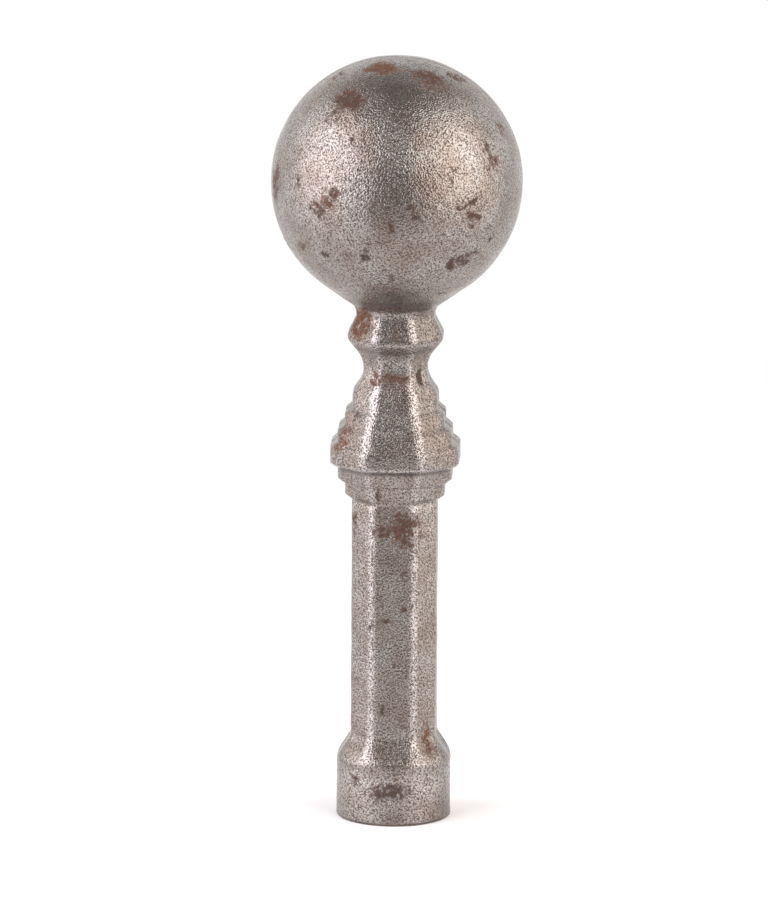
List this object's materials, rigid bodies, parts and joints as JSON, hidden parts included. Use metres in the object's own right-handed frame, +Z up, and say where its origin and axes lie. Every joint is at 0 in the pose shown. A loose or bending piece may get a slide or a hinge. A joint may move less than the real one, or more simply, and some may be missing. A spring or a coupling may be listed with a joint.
{
  "type": "fence finial",
  "caption": "Cast-iron fence finial: a ball on an eight-sided knop, a stepped bulb and a long shaft that flares into a round foot.",
  "frame": {"origin": "centre of the flat underside of the round foot", "axes": "+Z up the finial's axis to the top of the ball; the stem's wide faces look along +X, -X, +Y and -Y"},
  "size_m": [0.0508, 0.0508, 0.1565],
  "materials": {
    "cast_iron": "bare blasted casting skin, silvery grey-brown, with scattered brown and orange rust"
  },
  "bodies": {
    "root": {"finial_casting": "cast_iron"}
  },
  "joints": []
}
